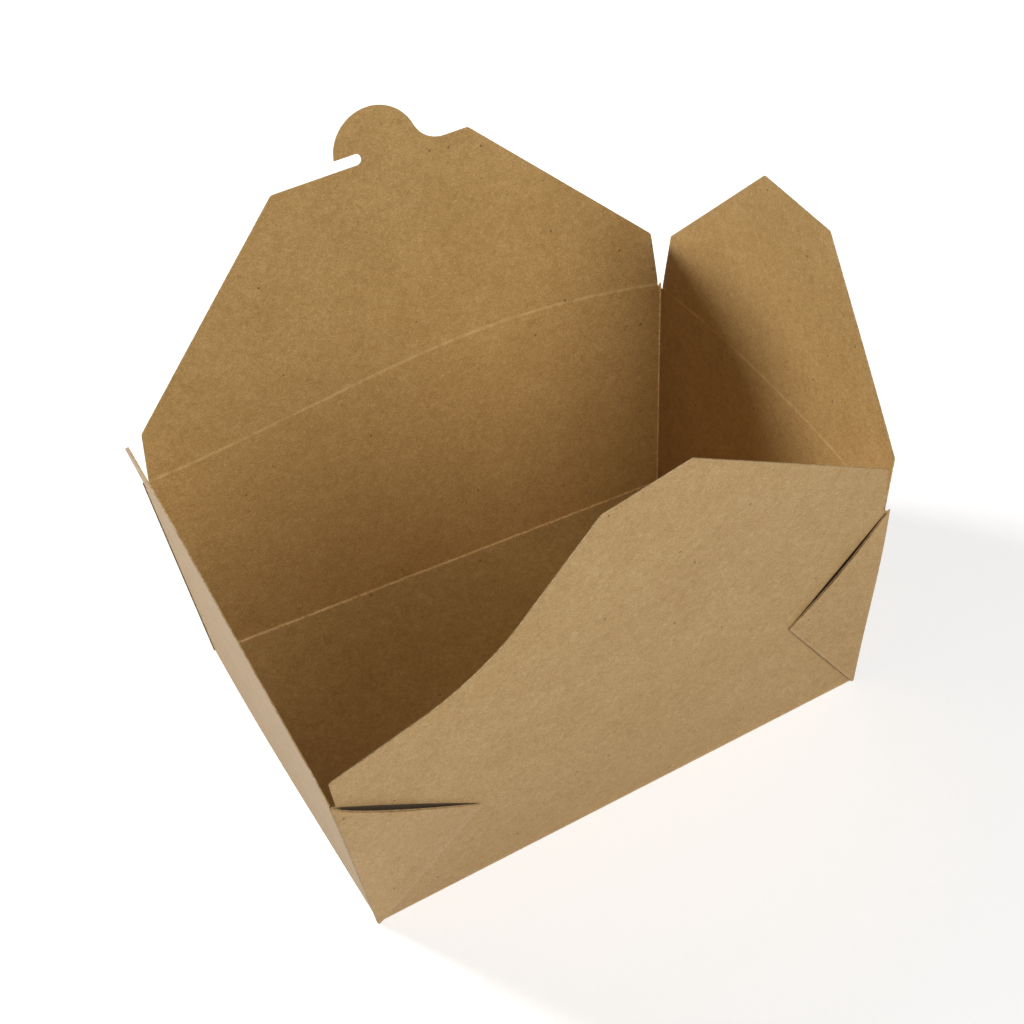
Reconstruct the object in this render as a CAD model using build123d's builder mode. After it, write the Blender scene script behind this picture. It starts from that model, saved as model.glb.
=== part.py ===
"""Folded kraft-board takeaway box, standing open.

One die-cut sheet makes the base, four flared walls and four corner gussets, which fold flat
against the outside of the two long walls.  A flap hangs on each wall at its rim crease, and the
back flap carries a hook tab on its top edge.

Frame: millimetres, +X to the right, +Y to the back, +Z up.  The origin is the middle of the
underside of the base.
"""

import os
from math import cos, radians, sin

from build123d import *

# Driving dimensions
BOARD = 0.45              # thickness of the board
BASE_LENGTH = 197.0       # base, left to right
BASE_WIDTH = 134.6        # base, front to back
RIM_HEIGHT = 90.3         # rim crease of the long walls above the table
END_RIM_DROP = 1.2        # how much lower the end flaps are creased, so that they close first

# How far each rim corner stands out past the base corner under it: (sideways, front or back)
FLARE_FRONT_LEFT = (11.2, 19.2)
FLARE_FRONT_RIGHT = (5.7, 8.9)
FLARE_BACK_RIGHT = (13.0, 10.6)
FLARE_BACK_LEFT = (5.5, 19.4)

# Corner gussets
GUSSET_TIP = (34.5, 53.2)              # (along the wall from the corner, up the wall)
GUSSET_TIP_FRONT_LEFT = (44.2, 46.0)   # this one is folded flatter
GUSSET_GAP = 0.15         # air between the two layers, and between them and the wall
GUSSET_LIFT = 1.0         # how far the tip springs away from the wall
FOLD_SIDES = 8            # facets round the nose of a fold

# Flaps
CREASE_GAP = 0.6          # width of the crease between a wall and its flap
NOTCH = 1.7               # half width of the notch between two neighbouring flaps
CORNER_RADIUS = 2.0       # rounding of the cut corners

BACK_LEAN = 12.0          # lean outwards from upright
BACK_LEFT_SHOULDER = (4.8, 18.7)     # (inset from the rim corner, height up the flap)
BACK_RIGHT_SHOULDER = (1.4, 22.0)
BACK_TOP_LEFT = -34.5     # ends of the top edge, from the middle of the crease
BACK_TOP_RIGHT = 42.2
BACK_HEIGHT = 87.3

FRONT_LEAN = 8.5
FRONT_LEFT_SHOULDER = (1.7, 13.2)
FRONT_RIGHT_SHOULDER = (3.8, 21.6)
FRONT_SWEEP_MIDDLE = (-60.4, 27.7)   # a point on the hollow curve of the left edge
FRONT_SWEEP_END = (-20.0, 62.8)      # where that curve runs out into a straight cut
FRONT_TOP_LEFT = (-9.6, 73.6)
FRONT_TOP_RIGHT = (21.8, 77.9)

RIGHT_LEAN = 8.0
RIGHT_BACK_SHOULDER = (4.5, 23.6)
RIGHT_FRONT_SHOULDER = (1.7, 20.4)
RIGHT_TOP_BACK = -17.2
RIGHT_TOP_FRONT = 23.2
RIGHT_HEIGHT = 78.0

LEFT_LEAN = 9.0
LEFT_BACK_SHOULDER = (4.5, 21.5)
LEFT_FRONT_SHOULDER = (4.2, 16.5)
LEFT_TOP_BACK = -14.0
LEFT_TOP_FRONT = 31.0
LEFT_HEIGHT = 76.5

# Hook tab on the back flap
TAB_CENTRE = (6.8, 90.2)
TAB_RADIUS = 16.2
TAB_HOLLOW = 11.0         # radius of the hollow to the right of the tab
SLOT_WIDTH = 4.2          # slot under the hook, open to the left
SLOT_END = 0.6            # closed end of the slot, from the middle of the crease


def base_corner(side, face, inset=0.0):
    """Corner of the base: side is -1 left or 1 right, face is -1 front or 1 back."""
    return Vector(side * (BASE_LENGTH / 2 - inset), face * (BASE_WIDTH / 2 - inset), 0)


def rim_corner(side, face, inset=0.0):
    """Corner of the rim over a base corner."""
    flares = {(-1, -1): FLARE_FRONT_LEFT, (1, -1): FLARE_FRONT_RIGHT,
              (1, 1): FLARE_BACK_RIGHT, (-1, 1): FLARE_BACK_LEFT}
    out_x, out_y = flares[(side, face)]
    flare = Vector(side * out_x, face * out_y, RIM_HEIGHT)
    return base_corner(side, face, inset) + flare


def ring(corner, inset):
    """The four corners in order round the box."""
    return [corner(*place, inset) for place in ((-1, -1), (1, -1), (1, 1), (-1, 1))]


def shell_body(inset, floor):
    """Solid between the base and the rim, each wall a ruled surface."""
    foot_points = [point + (ring(rim_corner, inset)[i] - point) * (floor / RIM_HEIGHT)
                   for i, point in enumerate(ring(base_corner, inset))]
    with BuildSketch(Plane.XY.offset(floor)) as foot:
        with BuildLine():
            Polyline(*[(point.X, point.Y) for point in foot_points], close=True)
        make_face()
    with BuildSketch(Plane.XY.offset(RIM_HEIGHT)) as mouth:
        with BuildLine():
            Polyline(*[(point.X, point.Y) for point in ring(rim_corner, inset)], close=True)
        make_face()
    return loft([foot.sketch.face(), mouth.sketch.face()], ruled=True)


def gusset_tip(side, face):
    """Tip of a corner's gusset, on the outside of the long wall beside it."""
    reach, rise = GUSSET_TIP_FRONT_LEFT if (side, face) == (-1, -1) else GUSSET_TIP
    along = reach / BASE_LENGTH
    foot = base_corner(side, face) * (1 - along) + base_corner(-side, face) * along
    head = rim_corner(side, face) * (1 - along) + rim_corner(-side, face) * along
    return foot + (head - foot) * (rise / (head - foot).length)


def triangle(first, second, third):
    """Flat three-cornered sheet, as a sketch in space."""
    normal = (second - first).cross(third - first)
    plane = Plane(origin=first, x_dir=second - first, z_dir=normal)
    with BuildSketch(plane) as sheet:
        with BuildLine():
            Polyline(*[plane.to_local_coords(point) for point in (first, second, third)], close=True)
        make_face()
    return sheet.sketch


def fold(start, end, reach, out):
    """Nose of a fold from start to end, eight-sided, reaching that far each way from its middle."""
    with BuildSketch(Plane(origin=start, x_dir=out, z_dir=end - start)) as nose:
        RegularPolygon(reach, FOLD_SIDES, major_radius=False, rotation=180 / FOLD_SIDES)
    return nose.sketch


def flap_plane(start, end, lean, drop=0.0):
    """Plane of a flap: x along its crease, y up the flap, origin in the middle of the crease."""
    middle = (start + end) / 2 - Vector(0, 0, drop)
    along = (end - start).normalized()
    out = along.cross(Vector(0, 0, 1))
    out = out if out.dot(middle) > 0 else out * -1
    up = Vector(0, 0, 1) * cos(radians(lean)) + out * sin(radians(lean))
    return Plane(origin=middle, x_dir=along, z_dir=along.cross(up))


def closing_hinge(name, plane, inward):
    """Print a flap's crease line for the joint list: a positive turn folds the flap inwards."""
    axis = plane.x_dir if plane.y_dir.cross(inward).dot(plane.x_dir) > 0 else plane.x_dir * -1
    print(name, "hinge at", [round(value / 1000, 6) for value in plane.origin],
          "axis", [round(value, 6) for value in axis])


# Tray: base, walls and gussets, one folded sheet
with BuildPart() as tray:
    add(shell_body(0.0, 0.0))
    add(shell_body(BOARD, BOARD), mode=Mode.SUBTRACT)
    for face in (-1, 1):
        for side in (-1, 1):
            foot = base_corner(side, face)
            head = rim_corner(side, face)
            tip = gusset_tip(side, face)
            out = (head - foot).cross(tip - foot).normalized()
            out = out if out.Y * face > 0 else out * -1
            inner = out * (BOARD / 2 + GUSSET_GAP)
            outer = out * (3 * BOARD / 2 + 2 * GUSSET_GAP)
            spring = out * GUSSET_LIFT
            extrude(triangle(foot + inner, head + inner, tip + inner + spring), amount=BOARD / 2, both=True)
            extrude(triangle(foot + outer, head + outer, tip + outer + spring), amount=BOARD / 2, both=True)
            middle = (inner + outer) / 2
            tip_fold = BOARD + GUSSET_GAP / 2
            corner_fold = middle.length + BOARD / 2
            extrude(fold(foot + middle, tip + middle + spring, tip_fold, out),
                    amount=(tip + spring - foot).length)
            extrude(fold(foot + middle, head + middle, corner_fold, out),
                    amount=(head - foot).length)
    split(bisect_by=Plane.XY, keep=Keep.TOP)
    split(bisect_by=Plane.XY.offset(RIM_HEIGHT - CREASE_GAP / 2), keep=Keep.BOTTOM)
    for side in (-1, 1):
        with BuildSketch(Plane.XY.offset(RIM_HEIGHT - END_RIM_DROP - CREASE_GAP / 2)):
            front = rim_corner(side, -1) + Vector(0, NOTCH - CREASE_GAP, 0)
            back = rim_corner(side, 1) - Vector(0, NOTCH - CREASE_GAP, 0)
            with BuildLine():
                Polyline((front.X - side * 5, front.Y), (front.X + side * 5, front.Y),
                         (back.X + side * 5, back.Y), (back.X - side * 5, back.Y), close=True)
            make_face()
        extrude(amount=2 * END_RIM_DROP + CREASE_GAP, mode=Mode.SUBTRACT)
tray.part.label = "tray"


def rim_span(start, end):
    """Half the length of a flap's crease."""
    return (end - start).length / 2


# Back flap, with the hook tab
back_plane = flap_plane(rim_corner(-1, 1), rim_corner(1, 1), BACK_LEAN)
back_half = rim_span(rim_corner(-1, 1), rim_corner(1, 1))
with BuildPart() as back_flap:
    with BuildSketch(back_plane) as back_outline:
        with BuildLine():
            Polyline((NOTCH - back_half, CREASE_GAP / 2), (back_half - NOTCH, CREASE_GAP / 2),
                     (back_half - BACK_RIGHT_SHOULDER[0], BACK_RIGHT_SHOULDER[1]),
                     (BACK_TOP_RIGHT, BACK_HEIGHT), (BACK_TOP_LEFT, BACK_HEIGHT),
                     (BACK_LEFT_SHOULDER[0] - back_half, BACK_LEFT_SHOULDER[1]), close=True)
        make_face()
        fillet(back_outline.vertices().group_by(Axis.Y)[1:], radius=CORNER_RADIUS)
        with Locations(TAB_CENTRE):
            Circle(TAB_RADIUS)
        fillet(back_outline.vertices().group_by(Axis.Y)[-1].sort_by(Axis.X)[-2], radius=TAB_HOLLOW)
        slot_middle = BACK_HEIGHT + SLOT_WIDTH / 2
        with Locations((SLOT_END - SLOT_WIDTH / 2, slot_middle)):
            Circle(SLOT_WIDTH / 2, mode=Mode.SUBTRACT)
            Rectangle(2 * TAB_RADIUS, SLOT_WIDTH, align=(Align.MAX, Align.CENTER), mode=Mode.SUBTRACT)
    extrude(amount=BOARD / 2, both=True)
back_flap.part.label = "back_flap"

# Front flap, with its left edge cut in a hollow sweep
front_plane = flap_plane(rim_corner(-1, -1), rim_corner(1, -1), FRONT_LEAN)
front_half = rim_span(rim_corner(-1, -1), rim_corner(1, -1))
with BuildPart() as front_flap:
    with BuildSketch(front_plane) as front_outline:
        with BuildLine():
            shoulder = (FRONT_LEFT_SHOULDER[0] - front_half, FRONT_LEFT_SHOULDER[1])
            ThreePointArc(shoulder, FRONT_SWEEP_MIDDLE, FRONT_SWEEP_END)
            Polyline(FRONT_SWEEP_END, FRONT_TOP_LEFT, FRONT_TOP_RIGHT,
                     (front_half - FRONT_RIGHT_SHOULDER[0], FRONT_RIGHT_SHOULDER[1]),
                     (front_half - NOTCH, CREASE_GAP / 2), (NOTCH - front_half, CREASE_GAP / 2), shoulder)
        make_face()
        fillet(front_outline.vertices().group_by(Axis.Y)[-2:], radius=CORNER_RADIUS)
    extrude(amount=BOARD / 2, both=True)
front_flap.part.label = "front_flap"

# End flaps
right_plane = flap_plane(rim_corner(1, 1), rim_corner(1, -1), RIGHT_LEAN, END_RIM_DROP)
right_half = rim_span(rim_corner(1, 1), rim_corner(1, -1))
with BuildPart() as right_flap:
    with BuildSketch(right_plane) as right_outline:
        with BuildLine():
            Polyline((NOTCH - right_half, CREASE_GAP / 2), (right_half - NOTCH, CREASE_GAP / 2),
                     (right_half - RIGHT_FRONT_SHOULDER[0], RIGHT_FRONT_SHOULDER[1]),
                     (RIGHT_TOP_FRONT, RIGHT_HEIGHT), (RIGHT_TOP_BACK, RIGHT_HEIGHT),
                     (RIGHT_BACK_SHOULDER[0] - right_half, RIGHT_BACK_SHOULDER[1]), close=True)
        make_face()
        fillet(right_outline.vertices().group_by(Axis.Y)[1:], radius=CORNER_RADIUS)
    extrude(amount=BOARD / 2, both=True)
right_flap.part.label = "right_flap"

left_plane = flap_plane(rim_corner(-1, 1), rim_corner(-1, -1), LEFT_LEAN, END_RIM_DROP)
left_half = rim_span(rim_corner(-1, 1), rim_corner(-1, -1))
with BuildPart() as left_flap:
    with BuildSketch(left_plane) as left_outline:
        with BuildLine():
            Polyline((NOTCH - left_half, CREASE_GAP / 2), (left_half - NOTCH, CREASE_GAP / 2),
                     (left_half - LEFT_FRONT_SHOULDER[0], LEFT_FRONT_SHOULDER[1]),
                     (LEFT_TOP_FRONT, LEFT_HEIGHT), (LEFT_TOP_BACK, LEFT_HEIGHT),
                     (LEFT_BACK_SHOULDER[0] - left_half, LEFT_BACK_SHOULDER[1]), close=True)
        make_face()
        fillet(left_outline.vertices().group_by(Axis.Y)[1:], radius=CORNER_RADIUS)
    extrude(amount=BOARD / 2, both=True)
left_flap.part.label = "left_flap"

os.makedirs("parts", exist_ok=True)
export_step(tray.part, "parts/tray.step")
export_step(back_flap.part, "parts/back_flap.step")
export_step(front_flap.part, "parts/front_flap.step")
export_step(right_flap.part, "parts/right_flap.step")
export_step(left_flap.part, "parts/left_flap.step")

closing_hinge("back_flap", back_plane, Vector(0, -1, 0))
closing_hinge("front_flap", front_plane, Vector(0, 1, 0))
closing_hinge("right_flap", right_plane, Vector(-1, 0, 0))
closing_hinge("left_flap", left_plane, Vector(1, 0, 0))
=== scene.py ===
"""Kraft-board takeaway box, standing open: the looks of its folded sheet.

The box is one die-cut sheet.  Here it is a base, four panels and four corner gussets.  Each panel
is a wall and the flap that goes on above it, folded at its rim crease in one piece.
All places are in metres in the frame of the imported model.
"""

import logging
import math
from dataclasses import dataclass, field
from enum import Enum

import bmesh
import bpy
from mathutils import Matrix, Vector

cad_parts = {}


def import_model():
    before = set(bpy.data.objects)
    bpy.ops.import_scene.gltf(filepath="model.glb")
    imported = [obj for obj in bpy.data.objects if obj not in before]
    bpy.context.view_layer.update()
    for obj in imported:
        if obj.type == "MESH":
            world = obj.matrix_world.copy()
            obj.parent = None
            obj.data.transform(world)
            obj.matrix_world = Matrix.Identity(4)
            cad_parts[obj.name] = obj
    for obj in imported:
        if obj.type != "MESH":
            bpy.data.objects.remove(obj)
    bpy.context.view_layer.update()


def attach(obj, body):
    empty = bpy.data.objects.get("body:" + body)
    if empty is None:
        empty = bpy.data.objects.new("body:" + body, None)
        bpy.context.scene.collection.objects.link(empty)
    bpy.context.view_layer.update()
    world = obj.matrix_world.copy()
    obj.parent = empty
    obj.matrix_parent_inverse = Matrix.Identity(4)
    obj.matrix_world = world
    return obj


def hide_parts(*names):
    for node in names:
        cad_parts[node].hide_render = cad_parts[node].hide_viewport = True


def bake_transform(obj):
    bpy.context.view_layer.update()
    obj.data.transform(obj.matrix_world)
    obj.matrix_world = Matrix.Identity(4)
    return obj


LOG = logging.getLogger("takeaway_box")
MM = 0.001
FAR = 1.0       # a distance past which no crease shows, in metres


# ---------------------------------------------------------------- shader maths


@dataclass(frozen=True)
class Signal:
    """A number that changes over a surface: one output socket, usable in Python expressions."""

    shader: "Shader"
    socket: bpy.types.NodeSocket

    def _math(self, operation: str, first: "Signal | float", second: "Signal | float") -> "Signal":
        """Add a Math node.

        Args:
            operation: Blender's name of the operation.
            first: Left operand.
            second: Right operand.

        Returns:
            The node's result.
        """
        return self.shader.node("ShaderNodeMath", {"operation": operation}, [first, second])

    def __add__(self, other: "Signal | float") -> "Signal":
        """Sum."""
        return self._math("ADD", self, other)

    def __radd__(self, other: float) -> "Signal":
        """Sum, from the right."""
        return self._math("ADD", other, self)

    def __sub__(self, other: "Signal | float") -> "Signal":
        """Difference."""
        return self._math("SUBTRACT", self, other)

    def __rsub__(self, other: float) -> "Signal":
        """Difference, from the right."""
        return self._math("SUBTRACT", other, self)

    def __mul__(self, other: "Signal | float") -> "Signal":
        """Product."""
        return self._math("MULTIPLY", self, other)

    def __rmul__(self, other: float) -> "Signal":
        """Product, from the right."""
        return self._math("MULTIPLY", other, self)

    def __truediv__(self, other: "Signal | float") -> "Signal":
        """Quotient."""
        return self._math("DIVIDE", self, other)

    def __abs__(self) -> "Signal":
        """Size without sign."""
        return self._math("ABSOLUTE", self, 0.0)

    def above(self, low: float, high: float) -> "Signal":
        """Rise smoothly from 0 to 1.

        Args:
            low: Where the rise starts.
            high: Where it is complete.

        Returns:
            0 below low, 1 above high.
        """
        return self.shader.node("ShaderNodeMapRange", {"interpolation_type": "SMOOTHSTEP"},
                                {"Value": self, "From Min": low, "From Max": high})

    def below(self, low: float, high: float) -> "Signal":
        """Fall smoothly from 1 to 0 between low and high."""
        return 1.0 - self.above(low, high)


class Shader:
    """A material and its node tree."""

    def __init__(self, name: str) -> None:
        """Start an empty material.

        Args:
            name: Name of the material.
        """
        self.material = bpy.data.materials.new(name)
        self.material.use_nodes = True
        self.tree = self.material.node_tree
        self.tree.nodes.clear()

    def node(self, kind: str, settings: dict | None = None, inputs: dict | list | None = None,
             output: str | int = 0) -> Signal:
        """Add one node.

        Args:
            kind: Type of the node.
            settings: Properties, set before the sockets.
            inputs: Values or signals by socket name or position.
            output: Which output to hand back.

        Returns:
            That output.
        """
        made = self.tree.nodes.new(kind)
        for key, value in (settings or {}).items():
            setattr(made, key, value)
        pairs = inputs.items() if isinstance(inputs, dict) else enumerate(inputs or [])
        for key, value in pairs:
            if isinstance(value, Signal):
                self.tree.links.new(value.socket, made.inputs[key])
            else:
                made.inputs[key].default_value = value
        return Signal(self, made.outputs[output])

    def mixed(self, factor: Signal | float, first: Signal | tuple, second: Signal | tuple,
              blend: str = "MIX") -> Signal:
        """Mix two colours.

        Args:
            factor: Share of the second colour.
            first: A colour.
            second: Another colour.
            blend: Blender's name of the way they mix.

        Returns:
            The mixed colour.
        """
        return self.node("ShaderNodeMix", {"data_type": "RGBA", "blend_type": blend},
                         {0: factor, 6: first, 7: second}, 2)

    def finish(self, surface: Signal) -> bpy.types.Material:
        """Connect the surface.

        Args:
            surface: The shader that covers the material.

        Returns:
            The material.
        """
        output = self.tree.nodes.new("ShaderNodeOutputMaterial")
        self.tree.links.new(surface.socket, output.inputs["Surface"])
        return self.material


# ---------------------------------------------------------------- finishes


class Side(Enum):
    """The two sides of the board, each with its colours: middling, dark, pale, and along a crease, the last
    partly a painted highlight.
    """

    # The board is the same kraft on both sides: the outside tones are paler and bluer as painted sheen, and
    # the inside tones more orange as painted warm interreflected light.
    OUTSIDE = ((0.430, 0.268, 0.103, 1.0), (0.350, 0.204, 0.066, 1.0), (0.510, 0.342, 0.155, 1.0),
               (0.600, 0.440, 0.250, 1.0))
    INSIDE = ((0.480, 0.294, 0.098, 1.0), (0.375, 0.218, 0.062, 1.0), (0.580, 0.378, 0.148, 1.0),
              (0.880, 0.630, 0.300, 1.0))


@dataclass(frozen=True)
class KraftBoard:
    """Uncoated brown kraft board, matt, with fibres, flecks and specks."""

    side: Side
    speck: tuple = (0.120, 0.070, 0.030, 1.0)
    # colour of the painted shade in the slit behind the corner webs
    painted_slit_shade: tuple = (0.050, 0.030, 0.012, 1.0)
    roughness: float = 0.72

    def fibres(self, shader: Shader, place: Signal, scale: float, detail: float,
               curl: float) -> Signal:
        """Noise along the sheet.

        Args:
            shader: Material to add it to.
            place: Where on the sheet.
            scale: Blobs in a metre.
            detail: Octaves.
            curl: How strongly the blobs are drawn out into curled fibres.

        Returns:
            A value around a half.
        """
        return shader.node("ShaderNodeTexNoise", None, {"Vector": place, "Scale": scale, "Detail": detail,
                                                        "Roughness": 0.6, "Distortion": curl})

    def slit(self, shader: Shader) -> Signal:
        """Painted shade in the slit behind the cut edge of a corner web.

        Args:
            shader: Material to add it to.

        Returns:
            1 in the slit and 0 elsewhere.
        """
        place = shader.node("ShaderNodeAttribute", {"attribute_name": "slit"}, None, "Vector")
        below = shader.node("ShaderNodeSeparateXYZ", None, [place], "X")
        along = shader.node("ShaderNodeSeparateXYZ", None, [place], "Y")
        inside = below.above(-0.25 * MM, 0.10 * MM) * below.below(1.5 * MM, 4.0 * MM)
        return inside * along.above(0.01, 0.08) * along.below(0.95, 1.0)

    def material(self) -> bpy.types.Material:
        """Build the board's material.

        Returns:
            The material.
        """
        tone, dark, pale, crease_tint_and_highlight = self.side.value
        shader = Shader(f"kraft_board_{self.side.name.lower()}")
        place = shader.node("ShaderNodeAttribute", {"attribute_name": "sheet"}, None, "Vector")
        crease = shader.node("ShaderNodeAttribute", {"attribute_name": "crease"}, None, "Fac")

        grain = self.fibres(shader, place, 1700.0, 2.0, 0.0)
        curls = self.fibres(shader, place, 640.0, 4.0, 1.6)
        patches = self.fibres(shader, place, 260.0, 3.0, 0.8)
        cloud = self.fibres(shader, place, 50.0, 3.0, 0.0)
        shade = (grain - 0.5) * 1.6 + (curls - 0.5) * 1.8 + (patches - 0.5) * 0.8 + (cloud - 0.5) * 0.5
        colour = shader.mixed(shade.above(-0.05, 0.55), tone, pale)
        colour = shader.mixed(shade.below(-0.55, 0.05), colour, dark)

        fleck = self.fibres(shader, place, 480.0, 2.0, 1.0).above(0.67, 0.76)
        colour = shader.mixed(fleck * 0.5, colour, pale)
        cell = shader.node("ShaderNodeTexVoronoi", None, {"Vector": place, "Scale": 150.0})
        chance = shader.node("ShaderNodeTexVoronoi", None, {"Vector": place, "Scale": 150.0}, "Color")
        picked = shader.node("ShaderNodeSeparateColor", None, {"Color": chance}, "Red")
        specks = cell.below(0.045, 0.105) * picked.above(0.72, 0.78)
        colour = shader.mixed(specks * 0.75, colour, self.speck)

        seam = shader.node("ShaderNodeAttribute", {"attribute_name": "seam"}, None, "Fac")
        bead = abs(crease).below(0.15 * MM, 0.95 * MM)
        pressed_and_lit = abs(seam).below(0.15 * MM, 0.65 * MM)
        worn = self.fibres(shader, place, 260.0, 3.0, 0.0).above(0.35, 0.62)
        nick = self.fibres(shader, place, 700.0, 1.0, 0.0).above(0.55, 0.66)
        # crease colour: the rim bead is paler where the score broke the fibres; the pressed seams round the
        # base are mixed far paler, a painted highlight of the ridge catching light on top of its paler fibres
        colour = shader.mixed(bead * (0.12 + 0.22 * worn), colour, crease_tint_and_highlight)
        colour = shader.mixed(pressed_and_lit * (0.55 + 0.40 * worn), colour, crease_tint_and_highlight)
        colour = shader.mixed(pressed_and_lit * nick * 0.7, colour, dark)
        # painted shade: the outside wall is darkened in the slit behind each corner web
        if self.side is Side.OUTSIDE:
            colour = shader.mixed(self.slit(shader) * 0.96, colour, self.painted_slit_shade)

        height = grain * 0.4 + curls * 1.2 + bead * 1.2 + pressed_and_lit * 1.5
        normal = shader.node("ShaderNodeBump", None,
                             {"Height": height, "Strength": 0.35, "Distance": 0.12 * MM})
        surface = shader.node("ShaderNodeBsdfPrincipled", None,
                              {"Base Color": colour, "Roughness": self.roughness,
                               "Specular IOR Level": 0.5, "Sheen Weight": 0.15,
                               "Sheen Roughness": 0.4, "Normal": normal})
        return shader.finish(surface)


@dataclass(frozen=True)
class CutEdge:
    """Raw edge of the board, paler than its faces and a little ragged."""

    name: str = "cut_edge"
    pale: tuple = (0.520, 0.370, 0.195, 1.0)
    dark: tuple = (0.340, 0.215, 0.090, 1.0)

    def material(self) -> bpy.types.Material:
        """Build the edge's material.

        Returns:
            The material.
        """
        shader = Shader(self.name)
        place = shader.node("ShaderNodeTexCoord", None, None, "Object")
        ragged = shader.node("ShaderNodeTexNoise", None,
                             {"Vector": place, "Scale": 700.0, "Detail": 3.0, "Roughness": 0.6})
        colour = shader.mixed(ragged.above(0.35, 0.65), self.dark, self.pale)
        normal = shader.node("ShaderNodeBump", None,
                             {"Height": ragged, "Strength": 0.4, "Distance": 0.15 * MM})
        surface = shader.node("ShaderNodeBsdfPrincipled", None,
                              {"Base Color": colour, "Roughness": 0.9,
                               "Specular IOR Level": 0.2, "Normal": normal})
        return shader.finish(surface)


@dataclass(frozen=True)
class StudioFloor:
    """Pale floor that shows white to the eye and keeps the object's shadow."""

    name: str = "studio_floor"
    colour: tuple = (0.80, 0.80, 0.80, 1.0)
    lift: float = 0.45

    def material(self) -> bpy.types.Material:
        """Build the floor's material.

        Returns:
            The material.
        """
        shader = Shader(self.name)
        seen = shader.node("ShaderNodeLightPath", None, None, "Is Camera Ray")
        glossy = shader.node("ShaderNodeLightPath", None, None, "Is Glossy Ray")
        through = shader.node("ShaderNodeLightPath", None, None, "Is Transmission Ray")
        glow = shader.node("ShaderNodeEmission", None,
                           {"Color": (1.0, 1.0, 1.0, 1.0), "Strength": (seen + glossy + through) * self.lift})
        cover = shader.node("ShaderNodeBsdfDiffuse", None, {"Color": self.colour})
        return shader.finish(shader.node("ShaderNodeAddShader", None, [cover, glow]))


# ---------------------------------------------------------------- the flat sheet


class Cutter:
    """Draws the cutting line of a flat panel, in millimetres, and fills it."""

    def __init__(self, x: float, y: float, rounding: float = 0.0) -> None:
        """Start the line.

        Args:
            x: Start, across.
            y: Start, up.
            rounding: Radius of that corner.
        """
        self.mesh = bmesh.new()
        self.first = self.mesh.verts.new((x, y, 0.0))
        self.last = self.first
        self.rounded: list[tuple[bmesh.types.BMVert, float]] = []
        if rounding:
            self.rounded.append((self.first, rounding))

    def line(self, x: float, y: float, rounding: float = 0.0) -> None:
        """Cut straight on.

        Args:
            x: End, across.
            y: End, up.
            rounding: Radius of the corner there.
        """
        grown = bmesh.ops.extrude_vert_indiv(self.mesh, verts=[self.last])["verts"][0]
        grown.co = (x, y, 0.0)
        self.last = grown
        if rounding:
            self.rounded.append((grown, rounding))

    def arc(self, x: float, y: float, degrees: float, steps: int) -> None:
        """Cut round a centre.

        Args:
            x: Centre, across.
            y: Centre, up.
            degrees: Angle turned, anticlockwise positive.
            steps: Number of short cuts.
        """
        made = bmesh.ops.spin(self.mesh, geom=[self.last], cent=(x, y, 0.0), axis=(0.0, 0.0, 1.0),
                              angle=math.radians(degrees), steps=steps)
        self.last = [item for item in made["geom_last"] if isinstance(item, bmesh.types.BMVert)][0]

    def sheet(self, across: list[float], up: list[float]) -> bmesh.types.BMesh:
        """Close the line, fill it, round its corners and score it into small faces.

        Args:
            across: Places of the upright scores.
            up: Places of the level scores.

        Returns:
            The flat sheet, facing up.
        """
        mesh = self.mesh
        mesh.edges.new((self.last, self.first))
        bmesh.ops.contextual_create(mesh, geom=mesh.edges[:])
        for vert, radius in self.rounded:
            sides = [(edge.other_vert(vert).co - vert.co).normalized() for edge in vert.link_edges]
            half_angle = sides[0].angle(sides[1]) / 2
            bmesh.ops.bevel(mesh, geom=[vert], offset=radius / math.tan(half_angle), segments=6,
                            profile=0.5, affect="VERTICES", material=-1)
        bmesh.ops.recalc_face_normals(mesh, faces=mesh.faces[:])
        if mesh.faces[0].normal.z < 0:
            bmesh.ops.reverse_faces(mesh, faces=mesh.faces[:])
        for places, axis in ((across, Vector((1, 0, 0))), (up, Vector((0, 1, 0)))):
            for place in places:
                bmesh.ops.bisect_plane(mesh, geom=mesh.verts[:] + mesh.edges[:] + mesh.faces[:],
                                       dist=0.02, plane_co=axis * place, plane_no=axis)
        bmesh.ops.remove_doubles(mesh, verts=mesh.verts[:], dist=0.02)
        return mesh


def steps(low: float, high: float, pitch: float) -> list[float]:
    """Even places between two limits.

    Args:
        low: Lower limit.
        high: Upper limit.
        pitch: Longest step.

    Returns:
        The places, without the limits.
    """
    count = max(1, math.ceil((high - low) / pitch))
    return [low + (high - low) * i / count for i in range(1, count)]


def board_object(name: str, mesh: bmesh.types.BMesh, thickness: float, offset: float,
                 finishes: list[bpy.types.Material]) -> bpy.types.Object:
    """Give a folded surface the thickness of the board and its two finishes.

    Args:
        name: Name of the piece.
        mesh: The surface, in metres.
        thickness: Thickness in metres.
        offset: Solidify offset, -1 inwards from the surface and 0 both ways.
        finishes: Materials of the drawn surface, of the cut edge and of the surface behind.

    Returns:
        The finished piece.
    """
    data = bpy.data.meshes.new(name)
    mesh.to_mesh(data)
    mesh.free()
    piece = bpy.data.objects.new(name, data)
    bpy.context.scene.collection.objects.link(piece)
    for finish in finishes:
        data.materials.append(finish)
    solid = piece.modifiers.new("board", "SOLIDIFY")
    solid.thickness = thickness
    solid.offset = offset
    solid.use_even_offset = True
    solid.material_offset_rim = 1
    solid.material_offset = 2
    graph = bpy.context.evaluated_depsgraph_get()
    made = bpy.data.meshes.new_from_object(piece.evaluated_get(graph))
    piece.modifiers.clear()
    piece.data = made
    made.name = name
    made.shade_smooth()
    made.set_sharp_from_angle(angle=math.radians(35))
    LOG.info("%s: %d faces", name, len(made.polygons))
    return piece


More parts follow.
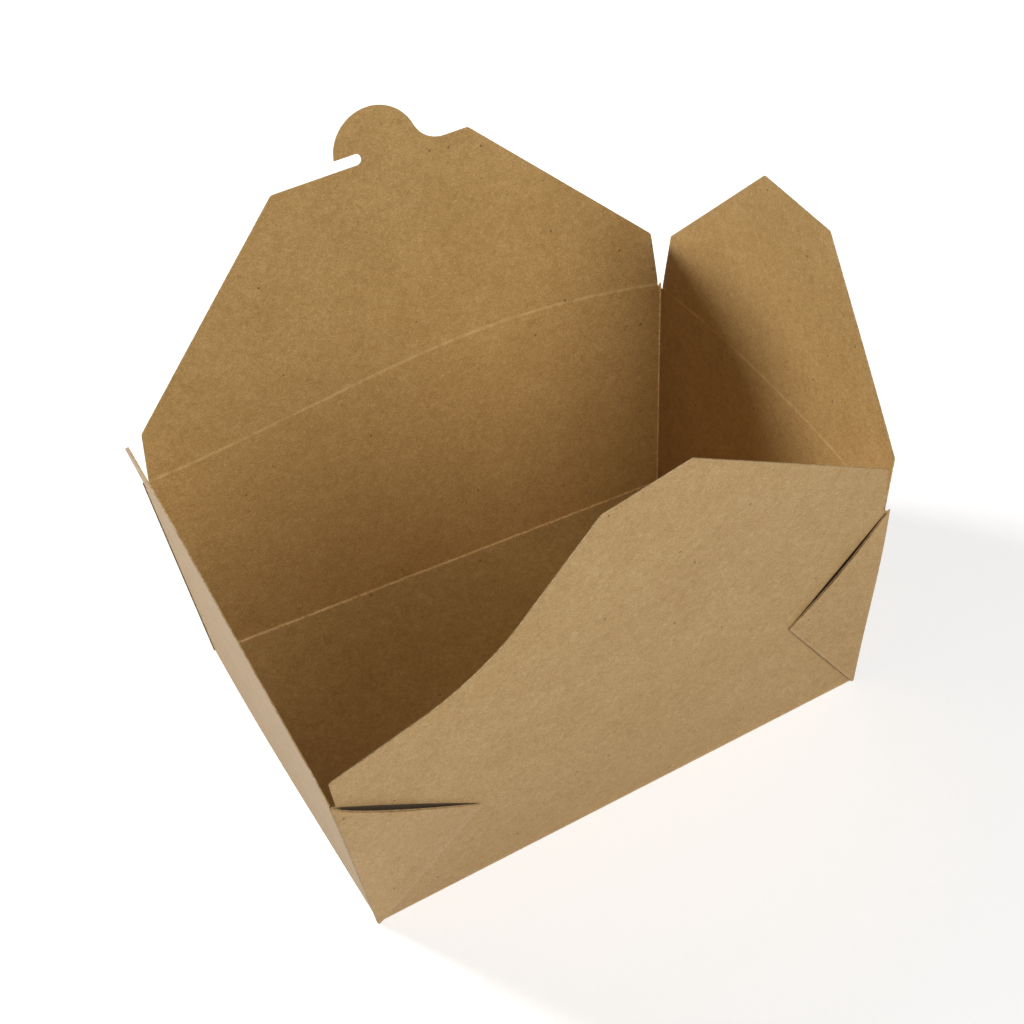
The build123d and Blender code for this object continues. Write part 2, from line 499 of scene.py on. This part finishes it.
# ---------------------------------------------------------------- the box


class Wall(Enum):
    """The four walls, each with its two lower corners as (side, face) signs, left to right from inside."""

    FRONT = ((-1, -1), (1, -1))
    BACK = ((-1, 1), (1, 1))
    RIGHT = ((1, 1), (1, -1))
    LEFT = ((-1, 1), (-1, -1))


@dataclass(frozen=True)
class Carcass:
    """Main sizes of the box, in millimetres."""

    length: float = 197.0
    width: float = 134.6
    rim: float = 90.3
    board: float = 0.45
    lifted: tuple = (8.1, 8.1)      # the back-left corner of the base, pushed back and up
    flares: dict = field(default_factory=lambda: {
        (-1, -1): (11.2, 19.2), (1, -1): (5.7, 8.9), (1, 1): (13.0, 10.6), (-1, 1): (5.5, 19.4)})

    def foot(self, corner: tuple[int, int]) -> Vector:
        """Corner of the base, in millimetres."""
        return Vector((corner[0] * self.length / 2, corner[1] * self.width / 2, 0.0))

    def settled(self, point: Vector) -> Vector:
        """Move a point of the flat base with the lifted back-left corner.

        Args:
            point: Point on the flat base, mm.

        Returns:
            The point on the warped base, mm.
        """
        left = min(1.0, max(0.0, 0.5 - point.x / self.length))
        back = min(1.0, max(0.0, 0.5 + point.y / self.width))
        return point + Vector((0.0, *self.lifted)) * left * back ** 5

    def head(self, corner: tuple[int, int], drop: float = 0.0) -> Vector:
        """Corner of the rim over it, drop millimetres lower."""
        out_x, out_y = self.flares[corner]
        return self.foot(corner) + Vector((corner[0] * out_x, corner[1] * out_y, self.rim - drop))


@dataclass
class Panel:
    """A wall and the flap on it: one run of board, folded at the rim crease."""

    box: Carcass
    wall: Wall
    flap: str
    lean: float
    drop: float = 0.0
    notch: float = 1.7
    bulge: float = 0.0          # how far the rim bows outwards, mm
    rise: float = 0.0           # how far the crease bead climbs above the fold, mm
    skew: float = 1.0           # above 1 the bow's middle lies further along
    soften: float = 2.0         # length over which the flap takes its own lean, mm
    creased: bool = True
    webs: tuple = ()            # tips of the webs on its left and right, as (along, up) the wall

    def __post_init__(self) -> None:
        """Work out the planes of the wall and the flap."""
        start, end = self.wall.value
        self.feet = (self.box.foot(start), self.box.foot(end))
        self.heads = (self.box.head(start, self.drop), self.box.head(end, self.drop))
        self.half = (self.heads[1] - self.heads[0]).length / 2
        self.depth = ((self.heads[0] - self.feet[0]).length + (self.heads[1] - self.feet[1]).length) / 2
        along = (self.heads[1] - self.heads[0]).normalized()
        out = along.cross(Vector((0, 0, 1)))
        self.out = out if out.dot(self.heads[0] + self.heads[1]) > 0 else -out
        angle = math.radians(self.lean)
        self.up = Vector((0, 0, math.cos(angle))) + self.out * math.sin(angle)

    def bow(self, share: float) -> float:
        """Shape of the bow along the rim.

        Args:
            share: Place along the rim, 0 to 1.

        Returns:
            0 at the ends and 1 at the top of the bow.
        """
        return math.sin(math.pi * min(1.0, max(0.0, share)) ** self.skew)

    def swelling(self, share: float, height: float) -> Vector:
        """How far the bowed wall stands out from its flat plane.

        Args:
            share: Place along the wall, 0 to 1.
            height: Place up the wall, 0 to 1.

        Returns:
            The shift, mm.
        """
        return self.out * self.bulge * self.bow(share) * height ** 1.4

    def place(self, x: float, y: float) -> Vector:
        """Fold a point of the flat sheet into its place.

        Args:
            x: Along the rim crease from its middle, mm.
            y: Up from the rim crease, mm; the wall is below 0.

        Returns:
            The point in space, mm.
        """
        share = x / (2 * self.half) + 0.5
        foot = self.box.settled(self.feet[0].lerp(self.feet[1], share))
        head = self.heads[0].lerp(self.heads[1], share)
        if y <= 0:
            height = max(0.0, 1 + y / self.depth)
            return foot.lerp(head, height) + self.swelling(share, height)
        wall_up = (head - foot).normalized()
        eased = self.soften * (1 - math.exp(-y / self.soften))
        faded = max(0.0, 1 - y / 80) ** 1.4
        return (head + self.up * y + (wall_up - self.up) * eased
                + self.out * self.bulge * self.bow(share) * faded)

    def start(self) -> Cutter:
        """Cut the wall's foot and its right side up to the notch, ready for the flap."""
        cutter = Cutter(-self.half, -self.depth)
        cutter.line(self.half, -self.depth)
        cutter.line(self.half, -0.9)
        cutter.line(self.half - self.notch, -0.9, 0.9)
        return cutter

    def outline(self, cutter: Cutter) -> None:
        """Cut round the flap from its right shoulder to its left one."""
        raise NotImplementedError

    def rim_distance(self, x: float, y: float) -> float:
        """How far a point of the sheet is from the bead of the rim crease, in metres."""
        share = x / (2 * self.half) + 0.5
        return (y - self.rise * self.bow(share)) * MM if self.creased else FAR

    def seam_distance(self, x: float, y: float) -> float:
        """How far a point of the sheet is from the creases round the wall, in metres."""
        side = self.half - abs(x) if y < 0 else FAR / MM
        return (min(y + self.depth, side) - self.box.board) * MM

    def slit_place(self, x: float, y: float) -> Vector:
        """Place of a point against the cut edge of the nearer web, which places the painted slit shade.

        Args:
            x: Along the rim crease from its middle, mm.
            y: Up from the rim crease, mm.

        Returns:
            Metres below that edge, and share along it from the rim; zero where no web lies.
        """
        if not self.webs or y > 3.0:
            return Vector((0.0, 0.0, 0.0))
        side = 1.0 if x > 0 else -1.0
        reach, rise = self.webs[x > 0]
        way = Vector((-side * reach * 2 * self.half / self.box.length, rise - self.depth))
        flat = Vector((x - side * self.half, y))
        below = side * (flat.y * way.x - flat.x * way.y) / way.length
        return Vector((below * MM, flat.dot(way) / way.length_squared, 0.0))

    def build(self, finishes: list[bpy.types.Material]) -> bpy.types.Object:
        """Cut, fold and finish the panel.

        Args:
            finishes: Materials of the outside, the cut edge and the inside.

        Returns:
            The piece.
        """
        cutter = self.start()
        self.outline(cutter)
        cutter.line(self.notch - self.half, -0.9, 0.9)
        cutter.line(-self.half, -0.9)
        across = steps(-self.half, self.half, 4.5) + [self.half - 1.2, 1.2 - self.half]
        up = steps(-self.depth, -3.0, 5.0) + [0.5 - self.depth, 1.2 - self.depth]
        up += [-3.0, -1.5, -0.8, -0.4, 0.0, 0.4, 0.8, 1.5, 3.0] + steps(3.0, 108.0, 4.5)
        mesh = cutter.sheet(across, up)
        sheet = mesh.verts.layers.float_vector.new("sheet")
        crease = mesh.verts.layers.float.new("crease")
        seam = mesh.verts.layers.float.new("seam")
        slit = mesh.verts.layers.float_vector.new("slit")
        seed = 0.37 * (1 + list(Wall).index(self.wall))
        for vert in mesh.verts:
            x, y = vert.co.x, vert.co.y
            vert[sheet] = Vector((x * MM, y * MM, seed))
            vert[crease] = self.rim_distance(x, y)
            vert[seam] = self.seam_distance(x, y)
            vert[slit] = self.slit_place(x, y)
            vert.co = self.place(x, y) * MM
        mesh.normal_update()
        if sum((face.normal.dot(self.out) * face.calc_area() for face in mesh.faces)) < 0:
            bmesh.ops.reverse_faces(mesh, faces=mesh.faces[:])
        piece = board_object(f"{self.wall.name.lower()}_panel", mesh, self.box.board * MM, -1.0, finishes)
        middle = (self.heads[0] + self.heads[1]) / 2
        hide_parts(self.flap)
        (middle - self.up * 1.3) * MM
        (middle + self.up * 1.3) * MM
        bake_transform(piece)
        return piece


@dataclass
class PlainPanel(Panel):
    """Panel whose flap is a plain six-sided end flap."""

    shoulders: tuple = ((4.5, 21.5), (4.5, 21.5))   # (inset, height) at the start and at the end
    top: tuple = (-15.0, 30.0)                      # ends of the top edge
    height: float = 77.0
    rounding: float = 2.0

    def outline(self, cutter: Cutter) -> None:
        """Cut round the flap from its right shoulder to its left one."""
        (first_in, first_up), (last_in, last_up) = self.shoulders
        cutter.line(self.half - last_in, last_up, self.rounding)
        cutter.line(self.top[1], self.height, self.rounding)
        cutter.line(self.top[0], self.height, self.rounding)
        cutter.line(first_in - self.half, first_up, self.rounding)


@dataclass
class TabPanel(PlainPanel):
    """Panel whose flap carries the hook tab on its top edge."""

    tab: tuple = (6.8, 90.2)
    radius: float = 16.2
    hollow: float = 11.0
    slot: float = 4.2
    slot_end: float = 0.6

    def outline(self, cutter: Cutter) -> None:
        """Cut round the flap and its tab, from the right shoulder to the left one."""
        (first_in, first_up), (last_in, last_up) = self.shoulders
        cutter.line(self.half - last_in, last_up, self.rounding)
        cutter.line(self.top[1], self.height, self.rounding)
        reach = self.radius + self.hollow
        hollow_y = self.height + self.hollow
        hollow_x = self.tab[0] + math.sqrt(reach ** 2 - (hollow_y - self.tab[1]) ** 2)
        turn = math.degrees(math.acos((hollow_x - self.tab[0]) / reach))
        cutter.line(hollow_x, self.height)
        cutter.arc(hollow_x, hollow_y, -(90 - turn), 12)
        lip = self.height + self.slot - self.tab[1]
        cutter.arc(*self.tab, 180 - turn - math.degrees(math.asin(lip / self.radius)), 30)
        cutter.line(self.slot_end, self.height + self.slot, 0.48 * self.slot)
        cutter.line(self.slot_end, self.height, 0.48 * self.slot)
        cutter.line(self.top[0], self.height, self.rounding)
        cutter.line(first_in - self.half, first_up, self.rounding)


@dataclass
class SweptPanel(PlainPanel):
    """Panel whose flap has its left edge cut in a hollow sweep."""

    sweep: tuple = (-52.0, 26.8)                    # where the two straight cuts of the sweep would meet
    sweep_radius: float = 62.0
    tops: tuple = ((-10.4, 73.6), (21.4, 78.4))

    def outline(self, cutter: Cutter) -> None:
        """Cut round the flap from its right shoulder to its left one."""
        (first_in, first_up), (last_in, last_up) = self.shoulders
        cutter.line(self.half - last_in, last_up, self.rounding)
        cutter.line(*self.tops[1], self.rounding)
        cutter.line(*self.tops[0], self.rounding)
        cutter.line(*self.sweep, self.sweep_radius)
        cutter.line(first_in - self.half, first_up, 1.2)


@dataclass
class Base:
    """The flat base."""

    box: Carcass

    def build(self, finishes: list[bpy.types.Material]) -> bpy.types.Object:
        """Cut and finish the base.

        Args:
            finishes: Materials of the outside, the cut edge and the inside.

        Returns:
            The piece.
        """
        half_x, half_y = self.box.length / 2, self.box.width / 2
        cutter = Cutter(-half_x, -half_y)
        cutter.line(half_x, -half_y)
        cutter.line(half_x, half_y)
        cutter.line(-half_x, half_y)
        across = steps(-half_x, half_x, 6.0) + [half_x - 1.2, 1.2 - half_x]
        up = steps(-half_y, half_y, 6.0) + [half_y - 1.2, 1.2 - half_y]
        mesh = cutter.sheet(across, up)
        sheet = mesh.verts.layers.float_vector.new("sheet")
        crease = mesh.verts.layers.float.new("crease")
        seam = mesh.verts.layers.float.new("seam")
        for vert in mesh.verts:
            x, y = vert.co.x, vert.co.y
            vert[sheet] = Vector((x * MM, y * MM, 0.11))
            vert[crease] = FAR
            vert[seam] = (min(half_x - abs(x), half_y - abs(y)) - self.box.board) * MM
            vert.co = (self.box.settled(Vector((x, y, 0.0))) + Vector((0.0, 0.0, self.box.board))) * MM
        piece = board_object("base", mesh, self.box.board * MM, -1.0, finishes[::-1])
        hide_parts("tray")
        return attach(piece, "tray")


@dataclass
class Gusset:
    """Corner web folded flat against the outside of a long wall."""

    panel: Panel                # the wall it lies against
    name: str
    corner: tuple[int, int]
    gape: float = 1.2           # how far the cut edge springs open, mm
    skew: float = 1.0           # below 1 it opens most near the rim
    wrap: float = 1.0           # share of the box's corner it is rounded over
    board: float = 0.30
    inner: float = 0.20         # middle of the inner layer off the wall
    outer: float = 0.56         # middle of the outer layer off the wall

    def __post_init__(self) -> None:
        """Find the three corners of the web and the way out of the two walls."""
        side, face = self.corner
        other = (-side, face)
        box = self.panel.box
        self.foot = box.settled(box.foot(self.corner))
        self.head = box.head(self.corner)
        reach, rise = self.panel.webs[side > 0]
        along = reach / box.length
        low = box.settled(box.foot(self.corner).lerp(box.foot(other), along))
        high = self.head.lerp(box.head(other), along)
        self.tip = low + (high - low).normalized() * rise
        out = (self.head - self.foot).cross(self.tip - self.foot).normalized()
        self.out = out if out.y * face > 0 else -out
        neighbour = box.settled(box.foot((side, -face))) - self.foot
        end_out = (self.head - self.foot).cross(neighbour).normalized()
        self.end_out = end_out if end_out.x * side > 0 else -end_out

    def against(self, point: Vector) -> Vector:
        """Shift that keeps a point of the web on its bowed wall.

        Args:
            point: Point on the flat wall, mm.

        Returns:
            The shift, mm.
        """
        height = min(1.0, max(0.0, point.z / self.panel.box.rim))
        ends = [foot.lerp(head, height).x for foot, head in zip(self.panel.feet, self.panel.heads)]
        return self.panel.swelling((point.x - ends[0]) / (ends[1] - ends[0]), height)

    def build(self, finishes: list[bpy.types.Material]) -> bpy.types.Object:
        """Fold and finish the web.

        Args:
            finishes: Materials of the outside, the cut edge and the inside.

        Returns:
            The piece.
        """
        mesh = bmesh.new()
        lift = self.out * self.outer
        turn = (self.outer - self.inner) / 2
        corners = [mesh.verts.new(point + lift) for point in (self.head, self.foot, self.tip)]
        mesh.faces.new(corners)
        bmesh.ops.subdivide_edges(mesh, edges=mesh.edges[:], cuts=17, use_grid_fill=True)
        outer_layer = mesh.verts[:] + mesh.edges[:] + mesh.faces[:]
        fold_way = (self.tip - self.foot).normalized()
        crease_way = (self.head - self.foot).normalized()

        def edges_on(start: Vector, way: Vector) -> list[bmesh.types.BMEdge]:
            """Edges of the outer layer that lie on a line through start."""
            return [edge for edge in mesh.edges
                    if all((vert.co - start).cross(way).length < 1e-3 for vert in edge.verts)]

        tip_edges = edges_on(self.foot + lift, fold_way)
        corner_edges = edges_on(self.foot + lift, crease_way)
        outer_copy = bmesh.ops.duplicate(mesh, geom=outer_layer)["geom"]
        inner_verts = [item for item in outer_copy if isinstance(item, bmesh.types.BMVert)]
        bmesh.ops.translate(mesh, verts=inner_verts, vec=self.out * (self.inner - self.outer))
        away = (self.tip - self.head).dot(fold_way.cross(self.out))
        axis = fold_way if away > 0 else -fold_way
        bmesh.ops.spin(mesh, geom=tip_edges + list({v for e in tip_edges for v in e.verts}),
                       cent=self.foot + lift - self.out * turn, axis=axis, angle=math.pi, steps=5)
        angle = self.out.angle(self.end_out) * self.wrap
        round_off = self.outer * 0.9
        centre = self.foot + self.out * (self.outer - round_off)
        hand = crease_way if self.out.cross(self.end_out).dot(crease_way) > 0 else -crease_way
        bmesh.ops.spin(mesh, geom=corner_edges + list({v for e in corner_edges for v in e.verts}),
                       cent=centre, axis=hand, angle=angle, steps=5)
        bmesh.ops.remove_doubles(mesh, verts=mesh.verts[:], dist=1e-3)
        bmesh.ops.recalc_face_normals(mesh, faces=mesh.faces[:])

        sheet = mesh.verts.layers.float_vector.new("sheet")
        crease = mesh.verts.layers.float.new("crease")
        seam = mesh.verts.layers.float.new("seam")
        edge_way = self.tip - self.head
        width = (self.foot - self.head).cross(edge_way.normalized()).length
        for vert in mesh.verts:
            flat = vert.co - self.foot
            vert[sheet] = Vector((flat.dot(fold_way), flat.dot(fold_way.cross(self.out)),
                                  30.0 * self.corner[0] + 70.0 * self.corner[1])) * MM
            vert[crease] = (flat - lift).cross(fold_way).length * MM
            vert[seam] = FAR
            share = min(1.0, max(0.0, (vert.co - self.head).dot(edge_way) / edge_way.length_squared))
            depth = (vert.co - self.head).cross(edge_way.normalized()).length / width
            layer = (flat.dot(self.out) - self.inner) / (self.outer - self.inner)
            layer = min(1.0, max(0.0, layer))
            spring = math.sin(math.pi * share ** self.skew) * max(0.0, 1 - depth) ** 1.2
            vert.co += self.out * self.gape * spring * (0.85 + 0.15 * layer) + self.against(vert.co)
            vert.co *= MM
        mesh.normal_update()
        outside, edge, _ = finishes
        piece = board_object(self.name, mesh, self.board * MM, 0.0, [outside, edge, outside])
        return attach(piece, "tray")


# ---------------------------------------------------------------- studio


@dataclass
class Studio:
    """Floor, lamps, world and camera."""

    place: tuple = (-197.697, -444.821, 532.321)    # camera, mm
    aim: tuple = (18.8, 41.2, 45.0)
    roll: float = -7.49
    lens: float = 66.5307
    world_strength: float = 0.07
    key_energy: float = 24.0
    front_energy: float = 18.0
    top_energy: float = 5.5

    def floor(self) -> None:
        """Lay the floor."""
        mesh = bmesh.new()
        bmesh.ops.create_grid(mesh, x_segments=2, y_segments=2, size=6.0)
        data = bpy.data.meshes.new("floor")
        mesh.to_mesh(data)
        mesh.free()
        data.materials.append(StudioFloor().material())
        made = bpy.data.objects.new("floor", data)
        bpy.context.scene.collection.objects.link(made)

    def lamp(self, name: str, place: tuple, size: float, energy: float) -> None:
        """Hang a soft square lamp that points at the box.

        Args:
            name: Name of the lamp.
            place: Where it hangs, in metres.
            size: Side of the square, in metres.
            energy: Power in watts.
        """
        data = bpy.data.lights.new(name, "AREA")
        data.size = size
        data.energy = energy
        made = bpy.data.objects.new(name, data)
        made.location = place
        way = Vector(self.aim) * MM - Vector(place)
        made.rotation_euler = way.to_track_quat("-Z", "Y").to_euler()
        bpy.context.scene.collection.objects.link(made)

    def world(self) -> None:
        """Light everything evenly, and show white behind the floor."""
        world = bpy.data.worlds.new("studio")
        world.use_nodes = True
        bpy.context.scene.world = world
        tree = world.node_tree
        tree.nodes.clear()
        path = tree.nodes.new("ShaderNodeLightPath")
        either = tree.nodes.new("ShaderNodeMath")
        either.operation = "MAXIMUM"
        tree.links.new(path.outputs["Is Camera Ray"], either.inputs[0])
        tree.links.new(path.outputs["Is Transmission Ray"], either.inputs[1])
        soft = tree.nodes.new("ShaderNodeBackground")
        soft.inputs["Strength"].default_value = self.world_strength
        white = tree.nodes.new("ShaderNodeBackground")
        chosen = tree.nodes.new("ShaderNodeMixShader")
        output = tree.nodes.new("ShaderNodeOutputWorld")
        for background in (soft, white):
            background.inputs["Color"].default_value = (1.0, 1.0, 1.0, 1.0)
        tree.links.new(either.outputs[0], chosen.inputs[0])
        tree.links.new(soft.outputs[0], chosen.inputs[1])
        tree.links.new(white.outputs[0], chosen.inputs[2])
        tree.links.new(chosen.outputs[0], output.inputs["Surface"])

    def camera(self) -> None:
        """Set up the camera."""
        data = bpy.data.cameras.new("camera")
        data.lens = self.lens
        data.sensor_width = 36.0
        data.clip_start = 0.01
        made = bpy.data.objects.new("camera", data)
        place = Vector(self.place) * MM
        turn = (Vector(self.aim) * MM - place).to_track_quat("-Z", "Y").to_matrix()
        turn = turn @ Matrix.Rotation(math.radians(self.roll), 3, "Z")
        made.matrix_world = Matrix.Translation(place) @ turn.to_4x4()
        bpy.context.scene.collection.objects.link(made)
        bpy.context.scene.camera = made

    def build(self) -> None:
        """Set up the whole studio."""
        bpy.context.scene.view_settings.view_transform = "Standard"
        self.camera()
        self.floor()
        self.world()
        self.lamp("key", (-0.75, 1.02, 0.97), 0.42, self.key_energy)
        self.lamp("front", (0.42, -1.45, 0.90), 1.0, self.front_energy)
        self.lamp("top", (0.30, -1.00, 1.60), 1.0, self.top_energy)


# ---------------------------------------------------------------- making


def main() -> None:
    """Build the box in its studio."""
    logging.basicConfig(level=logging.INFO)
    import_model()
    box = Carcass()
    finishes = [KraftBoard(Side.OUTSIDE).material(), CutEdge().material(), KraftBoard(Side.INSIDE).material()]
    Studio().build()
    Base(box).build(finishes)
    front = SweptPanel(box, Wall.FRONT, "front_flap", lean=8.5, soften=14.0, creased=False,
                       webs=((44.2, 46.0), (34.5, 53.2)), shoulders=((1.7, 13.2), (3.8, 21.6)))
    back = TabPanel(box, Wall.BACK, "back_flap", lean=12.0, bulge=1.4, rise=8.9, skew=1.5,
                    webs=((34.5, 53.2), (34.5, 53.2)),
                    shoulders=((4.8, 18.7), (1.4, 22.0)), top=(-34.5, 42.2), height=87.3)
    right = PlainPanel(box, Wall.RIGHT, "right_flap", lean=8.0, drop=1.2, bulge=1.0, rise=3.5,
                       shoulders=((4.5, 24.8), (1.7, 21.6)), top=(-17.2, 23.2), height=79.6, rounding=1.2)
    left = PlainPanel(box, Wall.LEFT, "left_flap", lean=9.0, drop=1.2, bulge=1.2, rise=1.0,
                      shoulders=((4.5, 22.7), (4.2, 17.7)), top=(-14.0, 31.0), height=77.7, rounding=1.2)
    for panel in (front, back, right, left):
        panel.build(finishes)
    Gusset(front, "gusset_front_left", (-1, -1), gape=1.9, skew=0.6).build(finishes)
    Gusset(front, "gusset_front_right", (1, -1)).build(finishes)
    Gusset(back, "gusset_back_right", (1, 1), gape=1.4, wrap=0.5).build(finishes)
    Gusset(back, "gusset_back_left", (-1, 1), gape=0.6, wrap=0.5).build(finishes)


if __name__ == "__main__":
    main()
